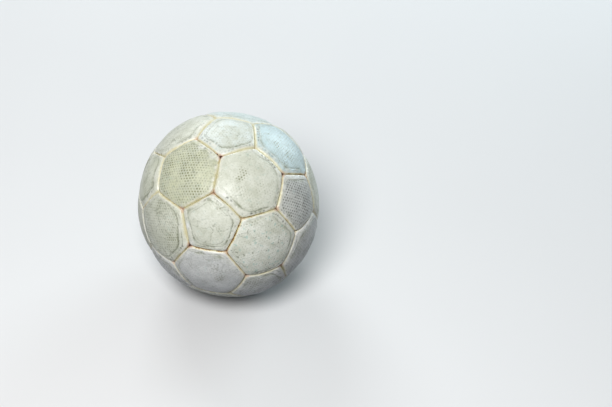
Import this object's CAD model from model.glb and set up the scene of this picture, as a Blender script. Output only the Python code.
"""A worn handball of 32 stitched panels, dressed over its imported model."""
import itertools
import math
import random

import bpy
import numpy as np
from mathutils import Matrix, Vector
from mathutils.geometry import delaunay_2d_cdt


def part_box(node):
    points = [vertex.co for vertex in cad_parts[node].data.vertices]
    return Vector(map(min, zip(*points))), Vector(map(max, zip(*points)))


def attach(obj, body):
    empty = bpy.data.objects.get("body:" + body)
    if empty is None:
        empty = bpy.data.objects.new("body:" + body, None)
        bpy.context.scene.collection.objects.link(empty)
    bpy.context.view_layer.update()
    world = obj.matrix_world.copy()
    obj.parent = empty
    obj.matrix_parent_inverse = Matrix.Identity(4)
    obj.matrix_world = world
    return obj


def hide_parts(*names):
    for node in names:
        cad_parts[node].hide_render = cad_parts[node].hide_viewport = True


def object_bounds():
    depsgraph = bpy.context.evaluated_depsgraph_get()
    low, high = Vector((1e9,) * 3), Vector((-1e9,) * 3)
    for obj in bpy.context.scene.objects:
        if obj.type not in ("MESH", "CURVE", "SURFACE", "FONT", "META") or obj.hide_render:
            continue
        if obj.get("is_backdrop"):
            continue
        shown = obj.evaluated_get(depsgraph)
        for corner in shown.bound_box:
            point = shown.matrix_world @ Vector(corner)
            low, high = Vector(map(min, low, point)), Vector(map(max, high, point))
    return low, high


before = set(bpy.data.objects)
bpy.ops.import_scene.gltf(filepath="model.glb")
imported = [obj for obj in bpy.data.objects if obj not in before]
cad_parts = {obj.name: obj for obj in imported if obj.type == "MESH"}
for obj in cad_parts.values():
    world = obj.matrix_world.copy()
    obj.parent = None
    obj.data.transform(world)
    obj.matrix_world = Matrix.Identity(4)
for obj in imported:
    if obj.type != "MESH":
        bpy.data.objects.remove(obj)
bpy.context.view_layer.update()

# Lengths of the ball are in millimetres here, and become metres where a mesh is made.
MM = 0.001

# Radius of the ball over its crowns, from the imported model
BALL_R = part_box("top_pentagon")[1].z / MM

# The pattern of panels, in the row's frame. Angles are in radians.
HEXAGON_SPREAD = math.acos(math.sqrt(5) / 3) / 2
PENTAGON_SPREAD = math.atan(3 - math.sqrt(5)) - HEXAGON_SPREAD
RING_PENTAGON_POLAR = math.atan(2)
CAP_HEXAGON_POLAR = PENTAGON_SPREAD + HEXAGON_SPREAD
BELT_HEXAGON_POLAR = CAP_HEXAGON_POLAR + 2 * HEXAGON_SPREAD
PENTAGON_TURN = math.radians(-90)
HEXAGON_TURN = math.radians(-54)
RING_STEP = math.radians(72)
VALVE_INDEX = 2

# Section of a panel
CROWN_RISE = 0.7        # how far the middle of a panel lies above its edge, over the round
CROWN_LIFT = 0.55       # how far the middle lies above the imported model, so that its padding stays covered
SWELL_REACH = 24.0      # distance from the seam where a panel's own swell is full
UNEVEN = 0.16           # broad unevenness of a panel
UNEVEN_FINE = 0.05
GROOVE_DEPTH = 1.5
GROOVE_UNEVEN = 0.45    # share by which that depth varies
GROOVE_WIDTH = 2.2      # from the seam to where the lip is flat
GROOVE_POWER = 2.1
ROLL_WIDTH = 8.0        # the broad roll of the panel's border towards the seam
BORDER_UNEVEN = 0.28    # share by which the border's width varies
CORNER_ROUND = 1.1      # rounding of a panel's corners
RING_ROUND = 2.6        # rounding of the crease that runs inside the border
SEAM_HALF_GAP = 0.05
SKIN_T = 1.4
RING_OFFSETS = (SEAM_HALF_GAP, 0.2, 0.42, 0.7, 1.0, 1.35, 1.75, 2.2, 2.7, 3.3)
SIDE_STEPS = 66         # points along one side of a panel
INNER_SPACING = 7.0     # between points of a panel's inner side

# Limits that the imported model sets. The first two are below its radius.
GROOVE_FLOOR = 3.7      # the lowest a groove goes, which is over the stitches
FLANGE_BOTTOM = 4.9
PACKED_RISE = 1.2       # rise of its panels' crowns
PAD_BELOW_CROWN = 1.5   # from its crowns down to its padding
PAD_COVER = 0.25        # leather that stays over the padding everywhere
COVER_REACH = (0.4, 2.0)    # distances from the seam between which this takes over from the groove's floor
THINNEST = 0.14         # leather that stays between a panel's own two sides

# Creases along the border: a main one, one outside it and one inside it
CREASE_DEPTH = 0.48
CREASE_WIDTH = 0.75
OUTER_CREASE_AT = 0.55  # as a share of the border's width
OUTER_CREASE_WIDTH = 0.42
INNER_CREASE_GAP = 2.0  # inwards from the main one
INNER_CREASE_WIDTH = 0.45
SMUDGE_WIDTH = 1.9      # of the dirt round the main one
PUFF = 0.14             # how far the leather stands out between crease and seam
PUFF_WIDTH = 1.7

# Fine wrinkles over the panel, puckers where the stitches pull, and short wrinkles that run in from the seam
CRACKLE_DEPTH = 0.13
CRACKLE_LINE = 0.07     # half width, on the scale of the noise whose zero lines they follow
PUCKER_DEPTH = 0.4
PUCKER_PITCH = 4.4
PUCKER_AT = 0.62        # as a share of the border's width
PUCKER_LENGTH = 1.2
PUCKER_WIDTH = 0.95
WRINKLE_DEPTH = 0.16
WRINKLE_AT = 3.6        # distance from the seam where they are deepest
WRINKLE_REACH = 4.0

# Wear of the seams
CORNER_STAIN = 3.8      # reach of the stain at a corner
GAPE_DEPTH = 1.5
GAPE_WIDTH = 0.9

# Embossed grain: pits where two sets of straight rows cross. Each panel's rows lie in their own direction.
ROW_GAP = 2.7
ROWS_BETWEEN = math.radians(115)
PIT_R = 0.66
PIT_DEPTH = 0.17
GRID = ROW_GAP / 5
GRID_TURN = math.radians(45)

# The ball has lost some air and roundness
OUT_OF_ROUND = 0.0195
LEAN = 1.0              # how far the whole surface lies towards the lower right of the picture
LEAN_TILT = math.radians(36)
LONG_TILT = math.radians(17)    # of the long axis in the picture, from upright towards the lower right
LUMP = 0.3
LUMP_CELL = 34.0
WANDER = 0.75           # how far the seams stray from great circles
WANDER_CELL = 17.0

# The hole in the valve's panel
VALVE_HOLE_R = 3.75
HOLE_POINTS = 72
HOLE_LIP = 1.4          # width of its rounded lip
HOLE_LIP_DEPTH = 0.7

# The camera stands where the photograph was taken from. Its aim is off the ball, as in the photograph.
VIEW_AZIMUTH = 12.8
VIEW_ELEVATION = 40.35
VIEW_DISTANCE = 20 * BALL_R
IMAGE_W = 612
IMAGE_H = 407
BALL_PX = (228.2, 203.8)
BALL_R_PX = 91.6
SENSOR_W = 36.0         # in the camera's own millimetres
CLIP_START = 0.05       # in metres, as is the next
CLIP_END = 50.0


def direction(azimuth, elevation):
    """A unit vector from the ball. Azimuth 0 is towards -Y and 90 towards +X, as the camera's is."""
    a, e = math.radians(azimuth), math.radians(elevation)
    return Vector((math.sin(a) * math.cos(e), -math.cos(a) * math.cos(e), math.sin(e)))


BACK = direction(VIEW_AZIMUTH, VIEW_ELEVATION)
RIGHT = Vector((0, 0, 1)).cross(BACK).normalized()
UP = BACK.cross(RIGHT)
LONG_AXIS = np.array(RIGHT * math.sin(LONG_TILT) - UP * math.cos(LONG_TILT))
SHORT_AXIS = np.array(RIGHT * math.cos(LONG_TILT) + UP * math.sin(LONG_TILT))
LEAN_AXIS = np.array(RIGHT * math.cos(LEAN_TILT) - UP * math.sin(LEAN_TILT))


def rotation(angle, axis):
    return np.array(Matrix.Rotation(angle, 3, axis))


def place(polar, turn, lower):
    """The turn that takes a panel from the pole to its place. The lower half is turned over about X."""
    return rotation(math.pi if lower else 0, "X") @ rotation(turn, "Z") @ rotation(polar, "Y")


def panel_places():
    """{node: (sides, turn)} of the 32 panels."""
    places = {}
    for lower, half in ((False, "upper"), (True, "lower")):
        places["bottom_pentagon" if lower else "top_pentagon"] = (5, place(0, HEXAGON_TURN, lower))
        for k in range(5):
            step = k * RING_STEP
            places[f"{half}_pentagon_{k + 1}"] = (5, place(RING_PENTAGON_POLAR, PENTAGON_TURN + step, lower))
            places[f"{half}_cap_hexagon_{k + 1}"] = (6, place(CAP_HEXAGON_POLAR, HEXAGON_TURN + step, lower))
            belt = f"{half}_belt_hexagon_{k + 1}"
            if k == VALVE_INDEX and not lower:
                belt = "valve_hexagon"
            places[belt] = (6, place(BELT_HEXAGON_POLAR, HEXAGON_TURN + step, lower))
    return places


def noise(points, cell, seed):
    """Smooth noise from -1 to 1 at each point, with bumps about one cell wide. Each use has its own seed."""
    p = np.asarray(points, float) / cell + 1000.0
    base = np.floor(p).astype(np.int64)
    t = p - base
    t = t * t * (3 - 2 * t)
    total = np.zeros(len(p))
    for corner in itertools.product((0, 1), repeat=3):
        c = base + corner
        h = (c[:, 0] * 73856093) ^ (c[:, 1] * 19349663) ^ (c[:, 2] * 83492791) ^ (seed * 26544357)
        h = ((h ^ (h >> 13)) * 1274126177) & 0x7FFFFFFF
        h = ((h ^ (h >> 15)) * 2246822519) & 0x7FFFFFFF
        value = (h % 65536) / 32767.5 - 1
        total += value * np.prod(np.where(corner, t, 1 - t), axis=1)
    return total


def seam_point(node, side, along):
    """A point on a panel's seam, in millimetres, at a distance along it from its middle."""
    sides, turn = panel_places()[node]
    spread = HEXAGON_SPREAD if sides == 6 else PENTAGON_SPREAD
    a = side * 2 * math.pi / sides
    middle = np.array((math.sin(spread) * math.cos(a), math.sin(spread) * math.sin(a), math.cos(spread)))
    across = np.array((-math.sin(a), math.cos(a), 0))
    psi = along / BALL_R
    return BALL_R * turn @ (math.cos(psi) * middle + math.sin(psi) * across)


# Where a seam has opened a little: (place, half its length)
GAPES = (
    (seam_point("top_pentagon", 4, 13.8), 2.6),
    (seam_point("upper_cap_hexagon_1", 1, 17.0), 1.8),
)

# Where a seam's line is sharper and darker, or softer if force is below 0: (place, reach, force)
SEAM_LINES = (
    (seam_point("upper_cap_hexagon_1", 2, 0), 15, -1.2),
    (seam_point("upper_cap_hexagon_1", 1, 6), 12, 0.5),
    (seam_point("upper_cap_hexagon_1", 0, 0), 14, 0.3),
    (seam_point("upper_cap_hexagon_1", 4, 0), 13, -0.7),
    (seam_point("upper_cap_hexagon_2", 5, 0), 13, 0.9),
    (seam_point("upper_pentagon_1", 1, 0), 15, 0.8),
    (seam_point("upper_pentagon_1", 3, 0), 14, -0.4),
    (seam_point("upper_pentagon_1", 4, 0), 14, -1.0),
    (seam_point("top_pentagon", 1, 0), 12, -0.4),
    (seam_point("top_pentagon", 2, 0), 12, -0.6),
    (seam_point("top_pentagon", 3, 0), 12, -0.8),
    (seam_point("upper_pentagon_2", 1, 0), 12, 0.2),
)


def smooth(x, low, high):
    """0 below low, 1 above high, with a smooth step between."""
    t = np.clip((np.asarray(x, float) - low) / (high - low), 0, 1)
    return t * t * (3 - 2 * t)


def bump(x, width):
    """1 where x is 0, and falling off to both sides."""
    return np.exp(-((x / width) ** 2))


def strip(a, b, count):
    """Quads between two closed loops of this many points, which start at the points a and b."""
    i = np.arange(count)
    j = (i + 1) % count
    return np.c_[a + i, a + j, b + j, b + i]


# The layers of a panel's mesh
OUTER, FLANGE, INNER = range(3)


class PanelForm:
    """Directions, faces and measures shared by all panels with the same number of sides."""

    def __init__(self, sides, hole_r=0.0):
        self.sides = sides
        self.spread = HEXAGON_SPREAD if sides == 6 else PENTAGON_SPREAD
        turns = np.arange(sides) * 2 * math.pi / sides
        sin_s, cos_s = math.sin(self.spread), math.cos(self.spread)
        self.middles = np.c_[sin_s * np.cos(turns), sin_s * np.sin(turns), np.full(sides, cos_s)]
        self.normals = np.c_[-cos_s * np.cos(turns), -cos_s * np.sin(turns), np.full(sides, sin_s)]
        self.alongs = np.c_[-np.sin(turns), np.cos(turns), np.zeros(sides)]
        self.build(hole_r)

    def ring(self, offset):
        """Directions along the line that runs inside every seam at this distance from it."""
        eps = math.asin(offset / BALL_R)
        half = math.pi / self.sides
        t = math.tan(half)
        sin_s, cos_s = math.sin(self.spread), math.cos(self.spread)
        k = math.hypot(1, t * sin_s)
        limit = math.atan(t * sin_s) - math.asin(t * math.tan(eps) * cos_s / k)
        psi = np.linspace(-limit, limit, SIDE_STEPS + 1)[:-1]
        rows = []
        for mid, nor, alo in zip(self.middles, self.normals, self.alongs):
            flat = np.cos(psi)[:, None] * mid + np.sin(psi)[:, None] * alo
            rows.append(math.cos(eps) * flat + math.sin(eps) * nor)
        return np.concatenate(rows)

    def circle(self, radius):
        """Directions round the middle of the panel."""
        a = np.arange(HOLE_POINTS) * 2 * math.pi / HOLE_POINTS
        t = radius / BALL_R
        return np.c_[math.sin(t) * np.cos(a), math.sin(t) * np.sin(a), np.full(HOLE_POINTS, math.cos(t))]

    @staticmethod
    def flat(dirs):
        """Coordinates on the panel, in millimetres from its middle along the surface."""
        theta = np.arccos(np.clip(dirs[:, 2], -1, 1))
        scale = BALL_R * np.where(theta < 1e-9, 1, theta / np.maximum(np.sin(theta), 1e-9))
        return dirs[:, :2] * scale[:, None]

    @staticmethod
    def raised(flat):
        """Directions of points given by their coordinates on the panel."""
        rho = np.hypot(flat[:, 0], flat[:, 1])
        theta = rho / BALL_R
        share = np.where(rho < 1e-9, 0, np.sin(theta) / np.maximum(rho, 1e-9))
        return np.c_[flat * share[:, None], np.cos(theta)]

    def offsets(self, dirs):
        """Distance of each direction from every seam, in millimetres."""
        return BALL_R * (dirs @ self.normals.T)

    def grid(self, spacing, edge, hole_r):
        """A square lattice of directions that keeps its distance from the seams and the hole."""
        reach = math.ceil(1.3 * self.spread * BALL_R / spacing) + 2
        i, j = np.meshgrid(np.arange(-reach, reach + 1), np.arange(-reach, reach + 1))
        cos_g, sin_g = math.cos(GRID_TURN), math.sin(GRID_TURN)
        turn = np.array([[cos_g, sin_g], [-sin_g, cos_g]])
        flat = np.c_[i.ravel(), j.ravel()] * spacing @ turn
        dirs = self.raised(flat)
        keep = self.offsets(dirs).min(1) > edge
        keep &= np.hypot(flat[:, 0], flat[:, 1]) > (hole_r + spacing / 2 if hole_r else -1)
        return dirs[keep]

    def fill(self, ring, hole, loose):
        """Triangles between a ring, an optional hole and loose points, by index into the three joined."""
        loops = [np.arange(len(ring))]
        if len(hole):
            loops.append(len(ring) + np.arange(len(hole)))
        dirs = np.concatenate([ring, hole, loose])
        flat = self.flat(dirs)
        edges = [(int(a), int(b)) for loop in loops for a, b in zip(loop, np.roll(loop, -1))]
        made = delaunay_2d_cdt([Vector(p) for p in flat], edges, [], 0, 1e-6)
        first = np.array([o[0] for o in made[3]])
        faces = first[np.array(made[2])]
        corners = flat[faces]
        middle = corners.mean(1)
        edge = self.offsets(ring).min(1).max()
        keep = self.offsets(self.raised(middle)).min(1) > edge - 1e-3
        if len(hole):
            keep &= np.hypot(middle[:, 0], middle[:, 1]) > VALVE_HOLE_R * math.cos(math.pi / HOLE_POINTS)
        faces, corners = faces[keep], corners[keep]
        a, b = corners[:, 1] - corners[:, 0], corners[:, 2] - corners[:, 0]
        clockwise = a[:, 0] * b[:, 1] - a[:, 1] * b[:, 0] < 0
        faces[clockwise] = faces[clockwise][:, ::-1]
        return faces

    def build(self, hole_r):
        """Joins the rings and grids of the outer side, the flange and the inner side to one closed mesh."""
        outer_rings = [self.ring(o) for o in RING_OFFSETS]
        wall = outer_rings[0]
        inner_ring = self.ring(SEAM_HALF_GAP + SKIN_T)
        hole = self.circle(hole_r) if hole_r else np.zeros((0, 3))
        outer_grid = self.grid(GRID, RING_OFFSETS[-1] + GRID / 2, hole_r)
        inner_grid = self.grid(INNER_SPACING, INNER_SPACING, hole_r + INNER_SPACING / 2 if hole_r else 0)
        n = len(wall)

        parts = [*outer_rings, hole, outer_grid, wall, inner_ring, inner_ring, hole, inner_grid]
        starts = np.cumsum([0] + [len(p) for p in parts])
        self.dirs = np.concatenate(parts)
        rings = len(outer_rings)
        self.layer = np.full(len(self.dirs), OUTER)
        self.layer[starts[rings + 2]:starts[rings + 4]] = FLANGE
        self.layer[starts[rings + 4]:] = INNER

        quads = [strip(starts[k], starts[k + 1], n) for k in range(rings - 1)]
        for a, b in ((rings + 2, 0), (rings + 3, rings + 2), (rings + 4, rings + 3)):
            quads.append(strip(starts[a], starts[b], n))
        top = self.fill(outer_rings[-1], hole, outer_grid)
        top_loose = starts[rings] + np.arange(len(hole) + len(outer_grid))
        top_map = np.concatenate([starts[rings - 1] + np.arange(n), top_loose])
        bottom = self.fill(inner_ring, hole, inner_grid)[:, ::-1]
        bottom_map = starts[rings + 4] + np.arange(n + len(hole) + len(inner_grid))
        if len(hole):
            quads.append(strip(starts[rings], starts[rings + 5], len(hole)))
        self.quads = np.concatenate(quads)
        self.triangles = np.concatenate([top_map[top], bottom_map[bottom]])
        self.measure(hole_r)

    def measure(self, hole_r):
        """Distances that the surface and its soiling follow."""
        self.seam_gaps = self.offsets(self.dirs)
        order = np.sort(self.seam_gaps, axis=1)
        self.near = self.seam_gaps.argmin(1)
        self.seam = order[:, 0]
        self.soft_seam = self.rounded(CORNER_ROUND)
        self.ring_seam = self.rounded(RING_ROUND)
        self.corner = np.hypot(order[:, 0], order[:, 1])
        self.along = BALL_R * np.einsum("ij,ij->i", self.dirs, self.alongs[self.near])
        self.grain = self.flat(self.dirs)
        self.hole_gap = np.hypot(self.grain[:, 0], self.grain[:, 1]) - hole_r if hole_r else None

    def rounded(self, width):
        """Distance from the seams, whose lines of equal distance have corners rounded by this width."""
        excess = np.exp((self.seam[:, None] - self.seam_gaps) / width)
        return self.seam - width * np.log(excess.sum(1))


def crown(form, top, rise):
    """Radius of a plain crowned panel in each direction, from its middle's radius and its rise."""
    low = top - rise
    shift = (top ** 2 - low ** 2) / (2 * (top - low * math.cos(form.spread)))
    cos_t = form.dirs[:, 2]
    return shift * cos_t + np.sqrt((top - shift) ** 2 - shift ** 2 * (1 - cos_t ** 2))


def pits_of(grain, lay, seed):
    """1 in the middle of a pit of the embossed lattice and 0 between pits, and each pit's own strength."""
    turns = (lay, lay + ROWS_BETWEEN)
    across = np.array([(math.cos(t), math.sin(t)) for t in turns])
    rows = grain @ across.T / ROW_GAP
    nearest = np.round(rows)
    gap = (rows - nearest) * ROW_GAP @ np.linalg.inv(across).T
    strength = np.clip(0.8 + 0.45 * noise(np.c_[nearest, np.zeros(len(grain))], 1.0, seed), 0, 1)
    return bump(np.hypot(gap[:, 0], gap[:, 1]), PIT_R), strength


def by_side(form, values):
    """A number given for each side, blended smoothly round the panel."""
    weight = np.exp(-(form.seam_gaps - form.seam[:, None]) / RING_ROUND)
    return weight @ np.array(values) / weight.sum(1)


def stray(world):
    """The directions after the leather has stretched unevenly. It is the same field for all panels."""
    here = world * BALL_R
    push = np.c_[noise(here, WANDER_CELL, 31), noise(here, WANDER_CELL, 32), noise(here, WANDER_CELL, 33)]
    moved = world + push * (WANDER / BALL_R)
    return moved / np.linalg.norm(moved, axis=1)[:, None]


def ball_shape(form, world, own, look):
    """Radius of the ball, which has lost its roundness, with this panel's crown, swell and unevenness."""
    radius = crown(form, BALL_R + CROWN_LIFT, CROWN_RISE)
    round_share = (world @ LONG_AXIS) ** 2 - (world @ SHORT_AXIS) ** 2
    radius += BALL_R * OUT_OF_ROUND * round_share + LEAN * (world @ LEAN_AXIS)
    radius += LUMP * noise(world * BALL_R, LUMP_CELL, 3)
    radius += look["swell"] * smooth(form.seam, 0, SWELL_REACH)
    radius += UNEVEN * noise(own, 11.0, 13) + UNEVEN_FINE * noise(own, 3.0, 12)
    return radius


def creases(form, own, look, border):
    """The creases along the border, and the smudge round the main one."""
    ring = by_side(form, look["ring"])
    gate = noise(own, 8.0, 8) + 0.4 * (ring - 0.5)
    main_at = border + 1.0 * noise(own, 11.0, 7) + 0.6 * noise(own, 4.0, 45)
    main_width = CREASE_WIDTH + 0.3 * noise(own, 6.0, 46)
    main = smooth(gate, -0.6, 0.25) * bump(form.ring_seam - main_at, main_width)
    outer_at = OUTER_CREASE_AT * border + 0.5 * noise(own, 7.0, 9)
    outer = smooth(noise(own, 11.0, 10), -0.1, 0.5) * bump(form.ring_seam - outer_at, OUTER_CREASE_WIDTH)
    inner_at = border + INNER_CREASE_GAP + 1.0 * noise(own, 12.0, 19)
    inner = smooth(noise(own, 12.0, 20), 0.0, 0.55) * bump(form.ring_seam - inner_at, INNER_CREASE_WIDTH)
    crease = np.clip(ring * main + (0.3 + 0.7 * ring) * (0.7 * outer + 0.6 * inner), 0, 1.2)
    crease *= look["crease"]
    smudge = bump(form.ring_seam - main_at, SMUDGE_WIDTH) * np.clip(0.4 + 0.9 * noise(own, 7.0, 43), 0, 1)
    smudge *= 0.25 + 0.9 * ring
    return crease, smudge


def fine_wrinkles(form, own, look):
    """Wrinkles that wander over the panel in patches, along the zero lines of two noises."""
    long_lines = noise(own, 6.5, 24) + 0.35 * noise(own, 2.8, 25)
    short_lines = noise(own, 5.0, 26) + 0.35 * noise(own, 2.2, 27)
    crackle = smooth(noise(own, 14.0, 28), 0.0, 0.5) * bump(long_lines, CRACKLE_LINE)
    short = smooth(noise(own, 10.0, 29), 0.1, 0.55) * bump(short_lines, CRACKLE_LINE)
    crackle = np.maximum(crackle, short)
    crackle *= smooth(form.seam, 1.0, 3.0) * look["crease"]
    return crackle


def puckers(form, own, look, border, seed):
    """Dimples that the stitches pull, in stretches along the border."""
    phase = form.along / PUCKER_PITCH + 0.35 * noise(own, 6.0, 21)
    number = np.round(phase)
    line = PUCKER_AT * border + 0.7 * noise(own, 5.0, 47)
    pucker = bump((phase - number) * PUCKER_PITCH, PUCKER_LENGTH) * bump(form.seam - line, PUCKER_WIDTH)
    luck = noise(np.c_[number, form.near * 9.0, np.zeros(len(own))], 1.0, seed + 50)
    pucker *= np.clip(0.55 + 0.9 * luck, 0, 1) * by_side(form, look["pucker"])
    return pucker


def round_spot(form, x, y, r):
    """1 at a place on the panel, and falling off round it."""
    return bump(np.hypot(form.grain[:, 0] - x, form.grain[:, 1] - y), r)


def soiling(form, own, look, inside):
    """How worn the embossing is, how much dirt lies on it and in its pits, and what is rubbed clean."""
    patch = noise(own, 12.0, 14) + 0.6 * noise(own, 4.5, 15)
    worn = np.clip(look["worn"] + 0.45 * patch, 0, 1)
    grime = np.clip(look["soil"] + 0.34 * noise(own, 15.0, 16) + 0.22 * noise(own, 5.0, 17), 0, 1)
    pitted = grime.copy()
    for x, y, r, force in look["spots"]:
        spot = round_spot(form, x, y, r)
        spot *= np.clip(0.75 + 0.6 * noise(own, 3.5, 18), 0, 1)
        grime = np.clip(grime + 0.35 * force * spot, 0, 1)
        pitted = np.clip(pitted + 1.3 * force * spot, 0, 1.2)
        worn = np.clip(worn - 1.3 * max(force, 0) * spot, 0, 1)
    worn = np.maximum(worn, 1 - inside)
    rubbed = np.zeros(len(own))
    for x, y, r, force in look["rubs"]:
        rub = round_spot(form, x, y, r)
        rubbed += force * rub * np.clip(0.7 + 0.7 * noise(own, 3.0, 44), 0, 1)
    return worn, grime, pitted, np.clip(rubbed, 0, 1)


def around(here, point, reach):
    """1 at a point of the ball, and falling off round it."""
    return bump(np.linalg.norm(here - point, axis=1), reach)


def seam_wear(form, here):
    """How sharp and dark the seam's line is, how stained its corners are, and where it gapes."""
    line = 0.45 + 0.6 * noise(here, 19.0, 41)
    for point, reach, force in SEAM_LINES:
        line += force * around(here, point, reach)
    stained = np.clip(0.55 + 0.75 * noise(here, 23.0, 42), 0.1, 1)
    gape = np.zeros(len(here))
    for point, length in GAPES:
        gape = np.maximum(gape, around(here, point, length) * bump(form.seam, GAPE_WIDTH))
    corner = np.maximum(bump(form.corner, CORNER_STAIN) * stained, gape)
    return np.clip(line, 0, 1), corner, gape


def limited(form, radius):
    """The radius, kept over the stitches and padding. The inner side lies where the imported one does."""
    packed = crown(form, BALL_R, PACKED_RISE)
    floor = BALL_R - GROOVE_FLOOR
    floor += (packed - PAD_BELOW_CROWN + PAD_COVER - floor) * smooth(form.seam, *COVER_REACH)
    radius = np.maximum(radius, floor)
    radius = np.where(form.layer == INNER, np.minimum(packed - SKIN_T, radius - THINNEST), radius)
    return np.where(form.layer == FLANGE, BALL_R - FLANGE_BOTTOM, radius)


def dress(form, turn, look, seed):
    """Vertex places in millimetres and the measures that the material reads, for one panel."""
    world = form.dirs @ turn.T
    here = world * BALL_R
    rng = random.Random(seed)
    own = here + np.array([rng.uniform(0, 500) for _ in range(3)])
    radius = ball_shape(form, world, own, look)

    # The border rolls down to the seam
    border = by_side(form, look["border"]) * (1 + BORDER_UNEVEN * noise(own, 16.0, 23))
    roll = by_side(form, look["roll"])
    radius -= roll * np.clip(1 - form.soft_seam / ROLL_WIDTH, 0, 1.2) ** 2
    groove = np.clip(1 - form.soft_seam / GROOVE_WIDTH, 0, 1.3) ** GROOVE_POWER
    radius -= GROOVE_DEPTH * (1 + GROOVE_UNEVEN * noise(here, 12.0, 5)) * groove

    crease, smudge = creases(form, own, look, border)
    radius -= CREASE_DEPTH * crease
    radius += PUFF * look["crease"] * bump(form.ring_seam - 0.5 * border, PUFF_WIDTH)
    crackle = fine_wrinkles(form, own, look)
    radius -= CRACKLE_DEPTH * crackle
    pucker = puckers(form, own, look, border, seed)
    radius -= PUCKER_DEPTH * pucker
    edgewise = np.c_[form.seam * 1.1, form.along * 0.22, form.near * 37.0 + seed * 11.0]
    wrinkle = noise(edgewise, 1.0, 11) * bump(form.seam - WRINKLE_AT, WRINKLE_REACH)
    radius += WRINKLE_DEPTH * look["crease"] * wrinkle

    # The embossing, where it isn't worn away
    inside = smooth(form.ring_seam, 0.75 * border, border + 0.8)
    worn, grime, pitted, rubbed = soiling(form, own, look, inside)
    pit, strength = pits_of(form.grain, math.radians(look["lay"]), seed)
    radius -= PIT_DEPTH * pit * (1 - 0.8 * worn)

    line, corner, gape = seam_wear(form, here)
    radius -= GAPE_DEPTH * gape
    if form.hole_gap is not None:
        radius -= HOLE_LIP_DEPTH * np.clip(1 - form.hole_gap / HOLE_LIP, 0, 1) ** 2

    # The flange and the inner side show none of these
    outside = {
        "seam": form.seam,
        "corner": corner,
        "crease": np.maximum(crease, 0.6 * crackle),
        "smudge": smudge,
        "pucker": pucker,
        "inside": inside,
    }
    facts = {key: np.where(form.layer == OUTER, values, 0.0) for key, values in outside.items()}
    facts.update(rubbed=rubbed, line=line, pit=pit * strength, worn=worn, grime=grime, pitted=pitted)
    return stray(world) * limited(form, radius)[:, None], facts


def make_panel(name, form, turn, look, seed):
    """One panel as a closed piece that stands for its CAD node."""
    places, facts = dress(form, turn, look, seed)
    mesh = bpy.data.meshes.new(f"{name}_leather")
    faces = form.quads.tolist() + form.triangles.tolist()
    mesh.from_pydata((places * MM).tolist(), [], faces)
    mesh.polygons.foreach_set("use_smooth", np.ones(len(faces), bool))
    for key, values in facts.items():
        mesh.attributes.new(key, "FLOAT", "POINT").data.foreach_set("value", values.astype(np.float32))
    mesh.update()
    piece = bpy.data.objects.new(f"{name}_leather", mesh)
    bpy.context.collection.objects.link(piece)
    mesh.materials.append(leather(name, look, seed))
    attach(piece, "root")
    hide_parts(name)


class Graph:
    """The nodes of a material or of the world, with short calls for the ones used here."""

    def __init__(self, owner, shader="Principled BSDF"):
        owner.use_nodes = True
        self.owner = owner
        self.tree = owner.node_tree
        self.shader = self.tree.nodes[shader]
        self.tone = None

    def add(self, kind, inputs=None, **settings):
        """A new node with these settings, and with these values or links at its inputs."""
        node = self.tree.nodes.new(kind)
        for key, value in settings.items():
            setattr(node, key, value)
        for key, value in (inputs or {}).items():
            self.put(value, node.inputs[key])
        return node

    def put(self, value, socket):
        if isinstance(value, bpy.types.NodeSocket):
            self.tree.links.new(value, socket)
        elif value is not None:
            socket.default_value = value

    def shade(self, name, value):
        """Gives the shader's socket of this name a value or a link."""
        self.put(value, self.shader.inputs[name])

    def facts(self, *names):
        """What dress() has stored with the mesh under these names."""
        return [self.add("ShaderNodeAttribute", attribute_name=name).outputs["Fac"] for name in names]

    def math(self, operation, a, b=None, c=None, clamp=False):
        node = self.add("ShaderNodeMath", operation=operation, use_clamp=clamp)
        for value, socket in zip((a, b, c), node.inputs):
            self.put(value, socket)
        return node.outputs[0]

    def times(self, a, b, clamp=False):
        return self.math("MULTIPLY", a, b, clamp=clamp)

    def linear(self, value, factor, offset):
        return self.math("MULTIPLY_ADD", value, factor, offset)

    def step(self, value, low, high, out_low=0.0, out_high=1.0):
        """Goes smoothly from out_low, where the value is low, to out_high, where it is high."""
        keys = ("Value", "From Min", "From Max", "To Min", "To Max")
        inputs = dict(zip(keys, (value, low, high, out_low, out_high)))
        return self.add("ShaderNodeMapRange", inputs, interpolation_type="SMOOTHSTEP").outputs[0]

    def mix(self, share, a, b):
        """Colour a, with this share of colour b."""
        return self.add("ShaderNodeMix", {"Factor": share, 6: a, 7: b}, data_type="RGBA").outputs[2]

    def paint(self, share, colour):
        """Lays a share of this colour over the tone so far."""
        self.tone = self.mix(share, self.tone, colour)

    def here(self):
        return self.add("ShaderNodeTexCoord").outputs["Object"]

    def place(self, scale, location=(0, 0, 0)):
        """Coordinates in units of 1 / scale millimetres."""
        inputs = {"Vector": self.here(), "Location": location, "Scale": (scale / MM,) * 3}
        return self.add("ShaderNodeMapping", inputs).outputs[0]

    def noise(self, cell, location=(0, 0, 0), detail=3.0, rough=0.55):
        """Noise from 0 to 1 whose bumps are about one cell wide, in millimetres."""
        vector = self.place(1 / cell, location)
        inputs = {"Vector": vector, "Scale": 1.0, "Detail": detail, "Roughness": rough}
        return self.add("ShaderNodeTexNoise", inputs).outputs["Fac"]

    def seen(self):
        """1 where a camera, a gloss or glass sees it, and 0 where it only gives light to other things."""
        path = self.add("ShaderNodeLightPath")
        eye = self.math("MAXIMUM", path.outputs["Is Camera Ray"], path.outputs["Is Glossy Ray"])
        return self.math("MAXIMUM", eye, path.outputs["Is Transmission Ray"])

    def bump(self, height, depth=1.0):
        """A normal for a height from 0 to 1, which stands for this many millimetres."""
        inputs = {"Strength": 1.0, "Distance": depth * MM, "Height": height}
        return self.add("ShaderNodeBump", inputs).outputs[0]


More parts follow.
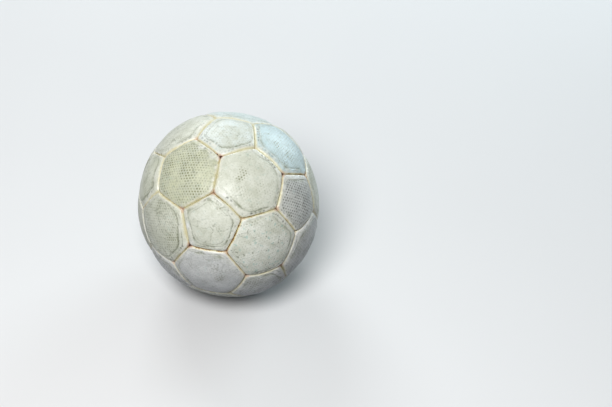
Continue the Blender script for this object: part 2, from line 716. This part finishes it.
def srgb(r, g, b):
    """A colour given as 0 to 255 in the display's own scale."""
    def linear(v):
        v /= 255
        return v / 12.92 if v <= 0.04045 else ((v + 0.055) / 1.055) ** 2.4
    return (linear(r), linear(g), linear(b), 1.0)


CLEAN = srgb(226, 228, 216)
FRESH = srgb(240, 242, 232)
GREYER = srgb(228, 229, 225)
COOL = srgb(226, 234, 231)
COOLER = srgb(207, 227, 230)
PALE_LIP = srgb(234, 233, 222)
DUST = srgb(188, 191, 172)
GREY_DUST = srgb(182, 184, 180)
COOL_DUST = srgb(180, 196, 192)
OLIVE = srgb(196, 198, 148)
PIT_DIRT = srgb(116, 117, 76)
PIT_GREY = srgb(78, 78, 68)
CREASE_DIRT = srgb(106, 110, 86)
PUCKER_DIRT = srgb(84, 88, 76)
SMUDGE = srgb(156, 160, 136)
RUBBED = srgb(244, 246, 246)
GREEN_SPOT = srgb(142, 186, 176)
SEAM_TAN = srgb(221, 203, 144)
SEAM_OLIVE = srgb(206, 202, 140)
SEAM_DEEP = srgb(134, 98, 58)
SEAM_SOFT = srgb(203, 197, 160)
CORNER_PINK = srgb(198, 164, 140)
CORNER_DARK = srgb(88, 54, 40)
LEATHER_IOR = 1.47
LEATHER_SPECULAR = 0.5


def leather(name, look, seed):
    """Embossed off-white synthetic leather with dirt in its pits, creases and seams."""
    g = Graph(bpy.data.materials.new(f"{name}_leather"))
    rng = random.Random(seed * 7 + 1)
    shift = tuple(rng.uniform(0, 60) for _ in range(3))
    seam, corner, crease, inside = g.facts("seam", "corner", "crease", "inside")
    worn, grime, pitted, pit = g.facts("worn", "grime", "pitted", "pit")
    smudge, pucker, line, rubbed = g.facts("smudge", "pucker", "line", "rubbed")
    film_tone = look["film"]

    broad = g.noise(17.0, shift)
    middling = g.noise(6.0, shift, 4.0, 0.6)
    fine = g.noise(2.2, shift, 4.0, 0.65)
    specks = g.noise(1.0, shift, 2.0, 0.6)

    # Base tone, greyed and greened by handling
    g.tone = g.mix(g.step(broad, 0.35, 0.72, 0.0, 0.5), look["base"], film_tone)
    g.paint(look["olive"], OLIVE)
    g.paint(g.times(g.step(middling, 0.44, 0.66), 0.42), film_tone)
    g.paint(g.times(g.step(fine, 0.48, 0.72), 0.36), film_tone)
    g.paint(g.step(specks, 0.42, 0.66, 0.0, 0.3), film_tone)
    film = g.times(g.step(grime, 0.15, 0.95), g.step(middling, 0.3, 0.68, 0.35, 0.9))
    g.paint(g.times(film, g.linear(inside, 0.45, 0.55)), film_tone)
    green = g.times(g.step(g.noise(4.2, shift, 2.0), 0.60, 0.70), look["green"])
    g.paint(green, GREEN_SPOT)

    # Dirt packed in the pits, and loose specks
    packed = g.times(g.math("MAXIMUM", pitted, 0.24), g.step(specks, 0.30, 0.58, 0.45, 1.0))
    packed = g.times(g.times(packed, pit), g.step(worn, 0.98, 0.40, 0.12, 1.0))
    packed = g.times(packed, g.step(inside, 0.2, 0.9))
    g.paint(g.times(packed, look["pits"], clamp=True), look["dirt"])
    loose = g.times(g.step(specks, 0.65, 0.74), g.step(grime, 0.1, 0.7, 0.2, 0.8))
    g.paint(loose, PIT_GREY)
    fleck = g.step(g.noise(2.8, shift[::-1], 1.0), 0.67, 0.73)
    g.paint(g.times(fleck, look["flecks"]), CREASE_DIRT)

    # The smooth border is paler, and its creases hold dirt
    border = g.times(g.math("SUBTRACT", 1.0, inside), g.step(middling, 0.42, 0.64, 0.0, 0.6))
    g.paint(border, PALE_LIP)
    dulled = g.times(smudge, g.step(middling, 0.62, 0.40, 0.25, 0.9))
    g.paint(dulled, SMUDGE)
    lines = g.times(crease, g.step(fine, 0.34, 0.60, 0.2, 1.0))
    g.paint(g.times(lines, 0.9, clamp=True), CREASE_DIRT)
    g.paint(g.times(pucker, g.step(specks, 0.30, 0.60, 0.55, 1.0)), PUCKER_DIRT)
    g.paint(rubbed, RUBBED)

    # The pale lip, the tan seam and the stained corners
    lip = g.times(g.step(seam, 2.4, 1.5), g.step(middling, 0.38, 0.62, 0.0, 0.55))
    g.paint(lip, PALE_LIP)
    edge = g.math("ADD", seam, g.linear(fine, 1.6, -0.8))
    edge = g.math("ADD", edge, g.linear(middling, 2.4, -1.2))
    seam_tone = g.mix(g.step(middling, 0.42, 0.62), SEAM_TAN, SEAM_OLIVE)
    faded = g.times(g.step(edge, 3.6, 0.8), g.step(line, 0.55, 0.0, 0.0, 0.65))
    g.paint(faded, SEAM_SOFT)
    shown = g.times(g.step(edge, 1.6, 0.5), g.linear(line, 0.55, 0.25))
    g.paint(shown, seam_tone)
    deep = g.times(g.step(edge, 0.6, 0.1), g.step(line, 0.2, 0.95))
    g.paint(deep, SEAM_DEEP)
    stain = g.times(g.step(corner, 0.12, 0.7), g.step(fine, 0.3, 0.62, 0.25, 0.9))
    g.paint(g.times(stain, g.step(seam, 3.2, 1.4), clamp=True), CORNER_PINK)
    stain_core = g.times(g.step(corner, 0.62, 0.92), g.step(seam, 1.5, 0.5))
    g.paint(stain_core, CORNER_DARK)
    g.shade("Base Color", g.tone)

    # Handled leather shines, and its dirt doesn't
    rough = g.linear(film, 0.20, 0.36)
    rough = g.math("ADD", rough, g.linear(middling, 0.22, -0.08))
    rough = g.math("SUBTRACT", rough, g.step(seam, 3.5, 1.5, 0.0, 0.12))
    g.shade("Roughness", rough)
    g.shade("IOR", LEATHER_IOR)
    g.shade("Specular IOR Level", LEATHER_SPECULAR)

    pores = g.times(g.times(pit, g.step(worn, 1.0, 0.35, 0.25, 1.0)), -0.16)
    skin = g.linear(specks, 0.08, pores)
    skin = g.linear(fine, 0.2, skin)
    g.shade("Normal", g.bump(skin))
    return g.owner


def rubber(name, colour, rough):
    """Moulded rubber with a dull bloom."""
    g = Graph(bpy.data.materials.new(name))
    bloom = g.noise(4.0, detail=4.0)
    lighter = tuple(min(1.0, c * 1.9 + 0.01) for c in colour[:3]) + (1.0,)
    g.shade("Base Color", g.mix(g.step(bloom, 0.45, 0.75, 0.0, 0.6), colour, lighter))
    g.shade("Roughness", g.linear(bloom, 0.2, rough - 0.1))
    g.shade("Normal", g.bump(g.noise(0.35, detail=2.0), 0.05))
    return g.owner


# Scale of the wave texture that gives one band in each unit of its coordinates
ONE_BAND = 0.314
FOAM_CELL = 0.8


def cloth(name, colour, pitch):
    """Plain woven cloth: two sets of threads that cross, at this pitch in millimetres."""
    g = Graph(bpy.data.materials.new(name))
    waves = []
    for across in ("X", "Y"):
        inputs = {"Vector": g.place(ONE_BAND / pitch), "Scale": 1.0}
        wave = g.add("ShaderNodeTexWave", inputs, wave_type="BANDS", bands_direction=across)
        waves.append(wave.outputs["Fac"])
    weave = g.times(*waves)
    darker = tuple(c * 0.6 for c in colour[:3]) + (1.0,)
    g.shade("Base Color", g.mix(g.step(weave, 0.0, 0.5), darker, colour))
    g.shade("Roughness", 0.9)
    g.shade("Normal", g.bump(weave, 0.2))
    return g.owner


def foam(name, colour):
    """Closed-cell foam."""
    g = Graph(bpy.data.materials.new(name))
    cells = g.add("ShaderNodeTexVoronoi", {"Vector": g.place(1 / FOAM_CELL), "Scale": 1.0})
    wall = g.step(cells.outputs["Distance"], 0.0, 0.7)
    darker = tuple(c * 0.8 for c in colour[:3]) + (1.0,)
    g.shade("Base Color", g.mix(wall, darker, colour))
    g.shade("Roughness", 0.85)
    g.shade("Normal", g.bump(wall, 0.15))
    return g.owner


def dress_inner_nodes():
    """Materials of the layers under the panels and of the valve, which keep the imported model's shapes."""
    pad_foam = foam("pad_foam", srgb(236, 226, 198))
    lining = cloth("lining_cloth", srgb(226, 224, 216), 0.8)
    thread = cloth("waxed_thread", srgb(196, 158, 108), 0.3)
    looks = {
        "pentagon_foam_pads": pad_foam,
        "hexagon_foam_pads": pad_foam,
        "pentagon_linings": lining,
        "hexagon_linings": lining,
        "pentagon_seam_threads": thread,
        "hexagon_seam_threads": thread,
        "bladder": rubber("bladder_rubber", srgb(42, 42, 44), 0.6),
        "valve_seat": rubber("seat_rubber", srgb(60, 59, 58), 0.55),
        "valve_core": rubber("core_rubber", srgb(30, 30, 32), 0.45),
        "valve_patch": cloth("patch_cloth", srgb(94, 90, 82), 0.7),
    }
    for node, material in looks.items():
        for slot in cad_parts[node].material_slots:
            slot.link = "OBJECT"
            slot.material = material


# How each photographed panel looks. Lengths are in millimetres. Numbers in a row go side by side round it.
# base, film: its clean colour, and the colour of the thin dirt over it.
# swell: how far its middle stands out, or in where it is below 0.
# pits, dirt: how strongly the dirt in its pits shows, and its colour.
# soil, worn, crease: how dirty it is, how much embossing is worn away, and how strong all its creases are.
# olive, green, flecks: shares of an olive cast, of greenish stains and of dark flecks.
# border, roll: how wide the smooth border is, and how deep it rolls down.
# pucker, ring: how strong the stitches' puckers and the border's creases are.
# lay: the direction of its rows of pits, in degrees.
# rubs, spots: (x, y, radius, force) on the panel. Spots are dirt, or cleaner places if force is below 0.
GREY = dict(base=GREYER, film=GREY_DUST, olive=0.0)
LOOKS = {
    "top_pentagon": dict(
        base=COOL, swell=-0.1, soil=0.28, worn=0.60, crease=1.0, olive=0.0,
        border=(6.0, 4.0, 3.6, 6.5, 5.5), roll=(0.9, 0.6, 0.7, 1.0, 0.9),
        pucker=(0.6, 0.2, 0.1, 0.4, 0.9), ring=(1.0, 0.4, 0.5, 0.6, 0.8), lay=40,
        spots=((8, 17, 3.0, 0.4), (0, -22, 3.0, 0.5), (-4, 2, 8.0, 0.2)),
    ),
    "upper_pentagon_1": dict(
        swell=0.1, soil=0.16, worn=0.80, crease=1.1, olive=0.05,
        border=(5.0, 5.5, 6.5, 4.6, 6.8), roll=(0.9, 0.9, 1.0, 0.8, 1.4),
        pucker=(0.4, 0.5, 0.6, 0.4, 0.2), ring=(0.8, 1.0, 0.5, 0.8, 0.9), lay=20,
        rubs=((5, -25, 4.0, 0.9), (24, -18, 4.0, 0.8)),
        spots=((-17, 8, 2.5, 0.7), (19, 15, 2.5, 0.7), (4, 14, 5.0, 0.3)),
    ),
    "upper_cap_hexagon_1": dict(
        swell=0.2, soil=0.12, worn=0.75, crease=0.8, olive=0.05,
        border=(3.6, 5.2, 6.5, 3.4, 3.4, 7.0), roll=(0.7, 0.9, 1.2, 0.5, 0.5, 1.1),
        pucker=(1.0, 0.8, 1.2, 0.1, 0.1, 1.2), ring=(0.9, 0.4, 0.8, 0.1, 0.1, 0.9), lay=88,
        rubs=((7, -30, 3.5, 0.15), (-33, 15, 6.0, 0.4)),
        spots=((-8, -5, 4.2, 1.2), (-5, -9, 3.6, 1.1), (-12, -5, 3.4, 0.8), (8, 8, 9.0, 0.35),
               (26, -2, 4.0, 0.4)),
    ),
    "upper_belt_hexagon_1": dict(
        base=FRESH, swell=0.2, soil=0.10, worn=0.45, crease=1.0, olive=0.04, green=0.5, flecks=0.65,
        border=(4.5, 6.0, 6.5, 3.6, 3.2, 3.6), roll=(0.8, 1.0, 1.0, 0.4, 0.5, 0.7),
        pucker=(1.1, 0.7, 1.1, 0.4, 0.1, 0.2), ring=(0.7, 0.9, 0.9, 0.2, 0.1, 0.4), lay=10,
        spots=((-19, 19, 5.0, 0.8), (17, 20, 4.0, 0.7), (28, 2, 4.0, 0.6), (-29, -12, 5.0, 0.45),
               (-12, -5, 3.0, 0.5)),
    ),
    "upper_pentagon_2": dict(
        GREY, swell=-0.1, pits=3.2, dirt=PIT_GREY,
        soil=0.56, worn=0.12, crease=0.7, olive=0.08, flecks=0.5,
        border=(4.2, 5.6, 6.2, 3.6, 4.2), roll=(0.8, 1.0, 1.0, 0.6, 0.7),
        pucker=(0.6, 0.3, 0.3, 0.6, 0.8), ring=(0.4, 0.6, 1.0, 0.2, 0.5), lay=18,
        spots=((-1, -10, 7.0, 0.6), (4, -23, 5.0, 0.6), (8, 3, 5.0, 0.4), (-17, -12, 4.0, 0.4)),
    ),
    "upper_cap_hexagon_2": dict(
        base=COOLER, film=COOL_DUST, swell=1.1, pits=2.4,
        soil=0.20, worn=0.55, crease=0.9, olive=0.0, green=0.2,
        border=(4.2, 4.2, 4.2, 6.0, 5.4, 6.5), roll=(0.8, 0.6, 0.6, 1.2, 1.1, 1.0),
        pucker=(0.4, 0.2, 0.2, 1.0, 0.6, 0.3), ring=(0.5, 0.3, 0.4, 1.0, 0.5, 1.0), lay=35,
        spots=((-10, -9, 5.5, 0.9), (4, -14, 6.0, 1.0), (11, 0, 5.0, 0.5), (-18, 6, 3.0, 0.4)),
    ),
    "upper_belt_hexagon_2": dict(
        swell=-0.3, soil=0.35, worn=0.60, crease=0.8, olive=0.05,
        border=(4, 4, 4, 4.5, 5.5, 5.0), roll=(0.8, 0.8, 0.8, 0.9, 1.2, 1.4),
        pucker=(0, 0, 0, 0.2, 0.4, 0.4), ring=(0.3, 0.3, 0.3, 0.3, 0.5, 0.5), lay=30,
        spots=((6, -6, 5.0, 0.3),),
    ),
    "upper_cap_hexagon_3": dict(
        base=COOL, film=COOL_DUST, swell=-1.1, soil=0.26, worn=0.55, crease=0.9, olive=0.0,
        border=(4, 4, 4, 5.5, 5, 4), roll=(0.8, 0.8, 0.8, 1.1, 1.0, 0.8),
        pucker=(0, 0, 0, 0.5, 0.4, 0), ring=(0.3, 0.3, 0.3, 0.7, 0.5, 0.3), lay=30,
        spots=((0, 6, 5.0, 0.3),),
    ),
    "upper_cap_hexagon_4": dict(
        swell=0.2, soil=0.36, worn=0.60, crease=1.0, olive=0.02,
        border=(4, 4, 4.6, 7.5, 6.5, 4), roll=(0.7, 0.7, 0.8, 1.2, 1.0, 0.7),
        pucker=(0.2, 0.2, 0.8, 0.6, 0.3, 0.2), ring=(0.3, 0.3, 0.5, 0.8, 0.5, 0.3), lay=75,
        spots=((-6, -10, 4.0, 0.25),),
    ),
    "upper_pentagon_5": dict(
        swell=0.1, soil=0.20, worn=0.50, crease=1.1, olive=0.18,
        border=(5, 6.5, 8.0, 4.5, 5), roll=(0.8, 1.0, 1.3, 0.7, 0.8),
        pucker=(0.2, 0.6, 0.3, 0.2, 0.2), ring=(0.4, 0.8, 1.0, 0.4, 0.4), lay=5,
        spots=((2, 4, 6.0, 0.3),),
    ),
    "upper_cap_hexagon_5": dict(
        swell=0.1, pits=2.5, soil=0.60, worn=0.14, crease=0.8, olive=0.52, flecks=0.4,
        border=(3.6, 3.2, 3.4, 6.5, 4.8, 4.0), roll=(0.7, 0.6, 0.5, 1.1, 0.9, 0.8),
        pucker=(0.3, 0.2, 0.2, 1.2, 1.0, 0.5), ring=(0.2, 0.1, 0.2, 0.9, 0.6, 0.3), lay=34,
        rubs=((-30, -4, 3.5, 0.6), (-28, 13, 3.0, 0.5)),
        spots=((2, 1, 5.5, 0.6), (5, -20, 6.5, 0.7), (9, 24, 5.0, 0.4), (17, 0, 7.0, -0.35),
               (-22, 14, 7.0, -0.4)),
    ),
    "upper_belt_hexagon_5": dict(
        swell=-0.3, pits=2.4, soil=0.42, worn=0.22, crease=1.2, olive=0.14, flecks=0.5,
        border=(4.2, 7.2, 8.4, 4.2, 4.2, 6.0), roll=(0.8, 1.2, 1.3, 0.7, 0.8, 0.9),
        pucker=(0.3, 1.1, 0.3, 0.3, 0.3, 0.4), ring=(0.5, 0.9, 1.1, 0.3, 0.3, 0.6), lay=28,
        spots=((14, 23, 4.0, 0.7), (2, 18, 4.5, 0.8), (-9, -3, 6.0, 0.4)),
    ),
    "lower_belt_hexagon_2": dict(
        GREY, swell=-0.3, soil=0.62, worn=0.60, crease=0.9, flecks=0.5,
        border=(7.0, 6.5, 5.0, 4, 4, 5.0), roll=(2.0, 1.8, 1.1, 0.8, 0.8, 1.4),
        pucker=(0.2, 0.3, 0.9, 0.3, 0.2, 0.3), ring=(0.9, 0.9, 0.5, 0.3, 0.3, 0.6), lay=12,
        spots=((-4, 0, 6.0, 0.3),),
    ),
    "lower_pentagon_3": dict(
        GREY, swell=1.4, soil=0.68, worn=0.55, crease=1.2, flecks=0.6,
        border=(5.0, 4.2, 4.2, 4.2, 8.0), roll=(0.9, 0.8, 0.8, 0.8, 1.4),
        pucker=(0.3, 0.3, 0.3, 0.3, 1.1), ring=(0.8, 0.4, 0.4, 0.4, 0.9), lay=22,
        spots=((0, -4, 6.0, 0.4),),
    ),
    "lower_belt_hexagon_3": dict(
        GREY, swell=0.2, soil=0.24, worn=0.62, crease=0.95,
        border=(5.5, 3.8, 6.8, 4.2, 4.2, 4.2), roll=(0.9, 0.7, 1.1, 0.8, 0.8, 0.7),
        pucker=(0.2, 0.3, 1.1, 0.3, 0.3, 0.4), ring=(0.9, 0.5, 1.1, 0.5, 0.3, 0.2), lay=48,
        spots=((-1, -12, 3.5, 0.7), (-8, 2, 6.0, 0.2)),
    ),
    "lower_pentagon_4": dict(
        GREY, swell=-0.1, soil=0.44, worn=0.55, crease=1.0,
        border=(6.0, 4.2, 4.2, 4.2, 6.5), roll=(1.4, 0.8, 0.8, 0.8, 1.2),
        pucker=(0.9, 0.3, 0.3, 0.3, 0.6), ring=(0.8, 0.4, 0.4, 0.4, 0.7), lay=62,
        spots=((2, -4, 5.0, 0.3),),
    ),
    "lower_cap_hexagon_3": dict(swell=-1.6),
    "lower_belt_hexagon_4": dict(swell=-1.5),
    "upper_pentagon_3": dict(swell=2.0),
    "upper_belt_hexagon_4": dict(swell=0.8),
}


def look_of(name, sides, seed):
    """The look of a panel. One that the photograph doesn't show gets a mixture of those that it does."""
    rng = random.Random(seed * 31 + 5)
    look = dict(
        swell=rng.uniform(-0.1, 0.6),
        soil=rng.choice((0.15, 0.25, 0.4, 0.6)),
        worn=rng.uniform(0.3, 0.8),
        crease=rng.uniform(0.7, 1.1),
        olive=rng.choice((0.04, 0.08, 0.2, 0.4)),
        green=0.15,
        flecks=0.25,
        border=[rng.uniform(3.4, 7.0) for _ in range(sides)],
        roll=[rng.uniform(0.6, 1.4) for _ in range(sides)],
        pucker=[rng.choice((0.0, 0.2, 0.5, 1.0)) for _ in range(sides)],
        ring=[rng.choice((0.1, 0.3, 0.6, 1.0)) for _ in range(sides)],
        lay=rng.uniform(0, 180),
        spots=[
            (rng.uniform(-16, 16), rng.uniform(-16, 16), rng.uniform(3, 8), rng.uniform(0.2, 0.7))
            for _ in range(3)
        ],
        rubs=(),
        base=CLEAN,
        film=DUST,
        dirt=PIT_DIRT,
        pits=1.5,
    )
    look.update(LOOKS.get(name, {}))
    return look


def build_ball():
    """All 32 panels. Each one's number in the order of their names is its seed."""
    forms = {5: PanelForm(5), 6: PanelForm(6)}
    valve_form = PanelForm(6, VALVE_HOLE_R)
    for seed, (name, (sides, turn)) in enumerate(sorted(panel_places().items()), start=1):
        form = valve_form if name == "valve_hexagon" else forms[sides]
        make_panel(name, form, turn, look_of(name, sides, seed), seed)


# The world gives little light, and shows as a pale backdrop
WORLD_GIVES = (0.102, 0.106, 0.110, 1.0)
WORLD_SHOWS = srgb(226, 228, 230)
# The floor: half its side and where it fades into the backdrop, in metres, and how it looks and lights
FLOOR_REACH = 6.0
FLOOR_FADES = (0.7, 2.0)
FLOOR_SHOWS = (srgb(222, 222, 222), srgb(227, 227, 227))
FLOOR_GIVES = srgb(70, 74, 90)
FLOOR_ROUGH = 0.9
FLOOR_SPECULAR = 0.15
# Name, azimuth, elevation, distance, size, power in watts and colour of each lamp
LAMPS = (
    ("key", -2, 51, 1.6, 0.7, 25, (1, 1, 1)),
    ("back", -150, 34, 1.6, 0.8, 11, (0.94, 0.98, 1.0)),
    ("window", 152, 16, 1.8, 1.0, 16, (0.80, 0.94, 1.0)),
)


def build_floor(level):
    """A plain pale floor under the lowest point of the ball. It throws less light back than it shows."""
    mesh = bpy.data.meshes.new("floor")
    corners = [(FLOOR_REACH * x, FLOOR_REACH * y, level) for x, y in ((-1, -1), (1, -1), (1, 1), (-1, 1))]
    mesh.from_pydata(corners, [], [(0, 1, 2, 3)])
    floor = bpy.data.objects.new("floor", mesh)
    bpy.context.collection.objects.link(floor)
    g = Graph(bpy.data.materials.new("floor_pale"))
    shown = g.mix(g.noise(400.0, detail=2.0), *FLOOR_SHOWS)
    reach = g.add("ShaderNodeVectorMath", {0: g.here()}, operation="LENGTH")
    far = g.step(reach.outputs["Value"], *FLOOR_FADES)
    seen = g.seen()
    near_tone = g.mix(seen, FLOOR_GIVES, shown)
    g.shade("Base Color", g.mix(far, near_tone, (0, 0, 0, 1)))
    g.shade("Emission Color", WORLD_SHOWS)
    g.shade("Emission Strength", g.times(far, seen))
    g.shade("Roughness", FLOOR_ROUGH)
    g.shade("Specular IOR Level", FLOOR_SPECULAR)
    mesh.materials.append(g.owner)
    floor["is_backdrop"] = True


def build_camera():
    """The focal length is the one that draws the ball's radius at this distance."""
    focal_px = BALL_R_PX * math.sqrt(VIEW_DISTANCE ** 2 - BALL_R ** 2) / BALL_R
    aside = math.atan((IMAGE_W / 2 - BALL_PX[0]) / focal_px)
    above = math.atan((IMAGE_H / 2 - BALL_PX[1]) / focal_px)
    look = -BACK * math.cos(aside) + RIGHT * math.sin(aside) - UP * math.sin(above)
    data = bpy.data.cameras.new("camera")
    data.sensor_width = SENSOR_W
    data.lens = SENSOR_W * focal_px / IMAGE_W
    data.clip_start = CLIP_START
    data.clip_end = CLIP_END
    camera = bpy.data.objects.new("camera", data)
    camera.location = BACK * VIEW_DISTANCE * MM
    side = look.cross(UP).normalized()
    camera.rotation_mode = "QUATERNION"
    axes = Matrix((side, side.cross(look).normalized(), -look)).transposed()
    camera.rotation_quaternion = axes.to_quaternion()
    bpy.context.collection.objects.link(camera)
    bpy.context.scene.camera = camera


def area_light(name, azimuth, elevation, distance, size, watts, colour):
    """A round lamp that faces the ball. Its distance and size are in metres."""
    data = bpy.data.lights.new(name, "AREA")
    data.shape = "DISK"
    data.size = size
    data.energy = watts
    data.color = colour
    lamp = bpy.data.objects.new(name, data)
    toward = direction(azimuth, elevation)
    lamp.location = toward * distance
    lamp.rotation_mode = "QUATERNION"
    lamp.rotation_quaternion = toward.to_track_quat("Z", "Y")
    bpy.context.collection.objects.link(lamp)


def build_lights():
    for lamp in LAMPS:
        area_light(*lamp)
    world = bpy.data.worlds.new("studio")
    bpy.context.scene.world = world
    g = Graph(world, "Background")
    g.shade("Color", g.mix(g.seen(), WORLD_GIVES, WORLD_SHOWS))


build_camera()
build_ball()
dress_inner_nodes()
build_floor(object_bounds()[0].z)
build_lights()
bpy.context.scene.view_settings.view_transform = "Standard"
